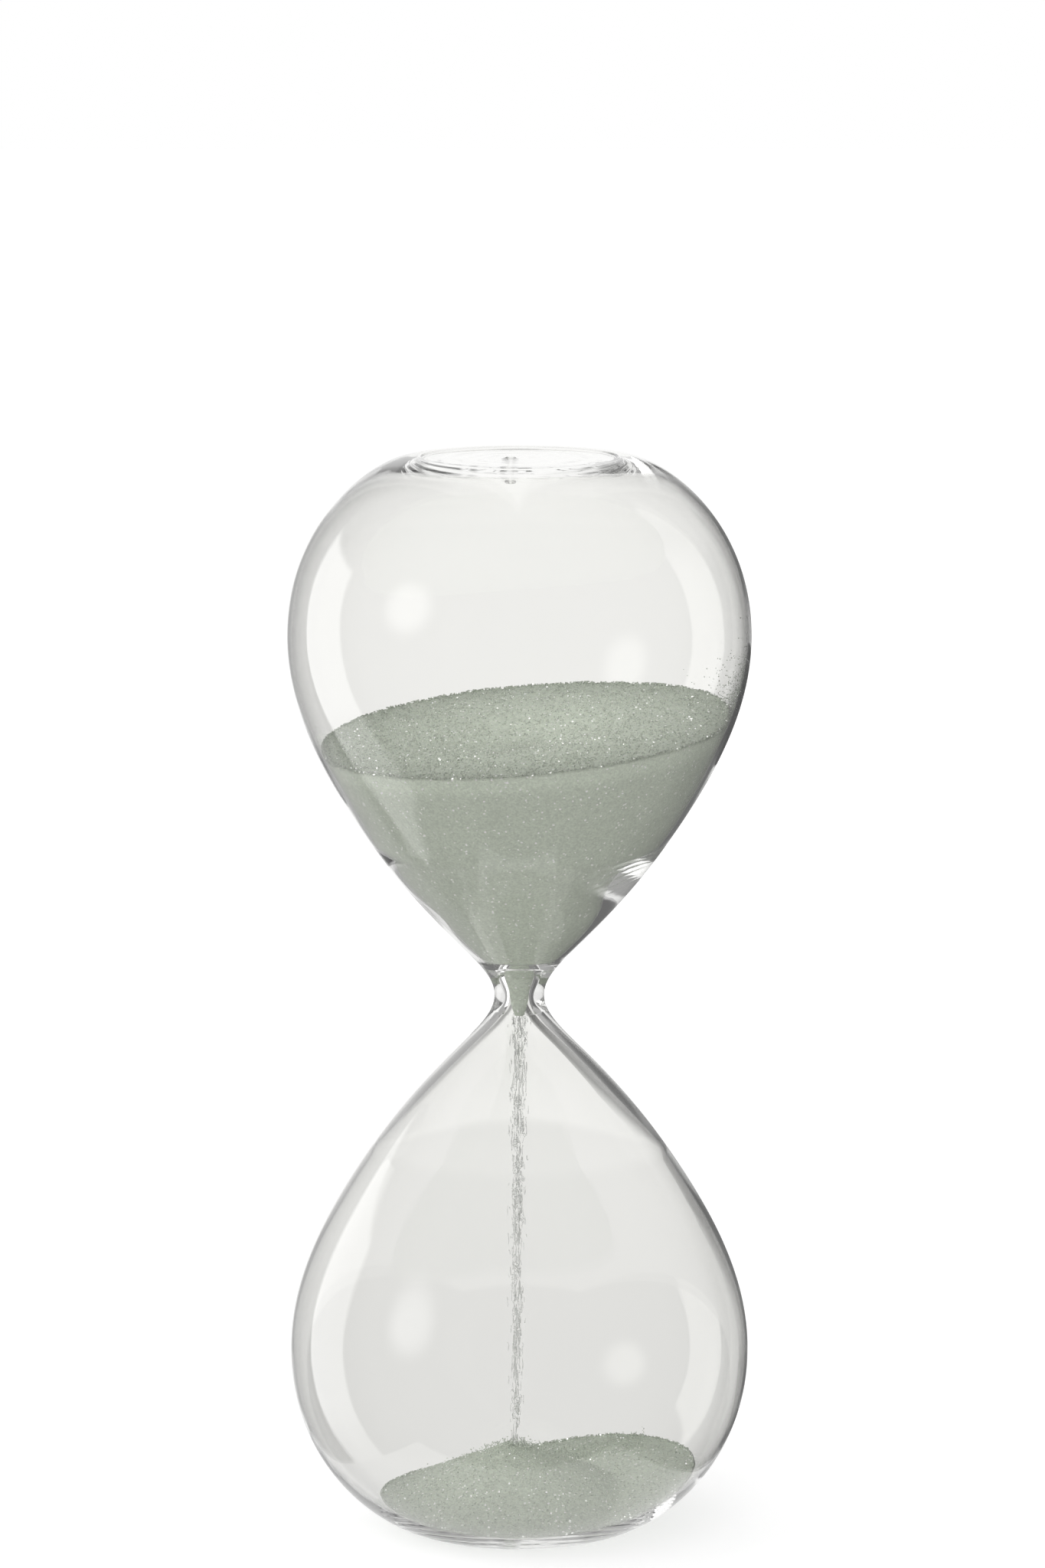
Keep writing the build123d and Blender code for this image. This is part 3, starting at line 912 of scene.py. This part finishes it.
def studio_world():
    """The room as the glass mirrors it, and the light that it gives to the sand and the floor."""
    world = bpy.data.worlds.new("studio")
    world.use_nodes = True
    tree = world.node_tree
    where = tree.nodes.new("ShaderNodeTexCoord")
    paint = Painter(tree, where.outputs["Generated"])
    mirrored = studio_round(paint, CAMERA_SIDE, DARK_RIGHT, GREY_LEFT)
    room = paint.mixed(FILL_SIDES, FILL_ZENITH, paint.turn(paint.elevation, 25, 65))
    room = paint.mixed(room, FLOOR_FILL, paint.turn(paint.elevation, 0, -10))
    fill = studio_round(paint, room, *FILL_WINGS)
    fill = paint.mixed(fill, FRONT_LIGHT, paint.patch(*FRONT_AT, 10, 44))
    fill = paint.mixed(fill, KEY_LIGHT, paint.patch(*KEY_AT, 12, 32))
    pale = paint.mixed(CLEAR_LOW, CLEAR_HIGH, paint.turn(paint.elevation, -4, 4))
    clear = paint.math("MULTIPLY", paint.sector(paint.azimuth, *CLEAR_ROUND, 2), paint.seen_through())
    shown = paint.mixed(mirrored, pale, clear)
    value = paint.mixed(shown, fill, paint.lighting())
    path = tree.nodes.new("ShaderNodeLightPath")
    value = paint.mixed(value, 1.0, path.outputs["Is Camera Ray"])
    tree.links.new(value, tree.nodes["Background"].inputs["Strength"])
    tree.nodes["Background"].inputs["Color"].default_value = (1, 1, 1, 1)
    world.cycles.sampling_method = "NONE"
    bpy.context.scene.world = world


studio_world()

# ---------------------------------------------------------------- camera
CAMERA_DISTANCE = 1.40
CAMERA_ELEVATION = 11.03
LENS = 139.0
AIM_ABOVE_WAIST = 0.0487  # in the picture's plane
AIM_RIGHT = 0.00076

elevation = math.radians(CAMERA_ELEVATION)
waist = Vector((0, 0, WAIST_Z))
away = Vector((0, -math.cos(elevation), math.sin(elevation)))
upward = Vector((0, math.sin(elevation), math.cos(elevation)))
camera_data = bpy.data.cameras.new("camera")
camera_data.lens = LENS
camera_data.sensor_width = 36.0
camera_data.sensor_fit = "AUTO"
camera_data.clip_end = 50
camera = bpy.data.objects.new("camera", camera_data)
camera.location = waist + away * CAMERA_DISTANCE
aim = waist + upward * AIM_ABOVE_WAIST + Vector((AIM_RIGHT, 0, 0))
camera.rotation_euler = (camera.location - aim).to_track_quat("Z", "Y").to_euler()
bpy.context.scene.collection.objects.link(camera)
bpy.context.scene.camera = camera

scene = bpy.context.scene
scene.view_settings.view_transform = "Standard"
scene.view_settings.look = "None"
scene.cycles.max_bounces = 72
scene.cycles.transmission_bounces = 64
scene.cycles.glossy_bounces = 64
scene.cycles.diffuse_bounces = 4
scene.cycles.transparent_max_bounces = 32
scene.cycles.use_denoising = True
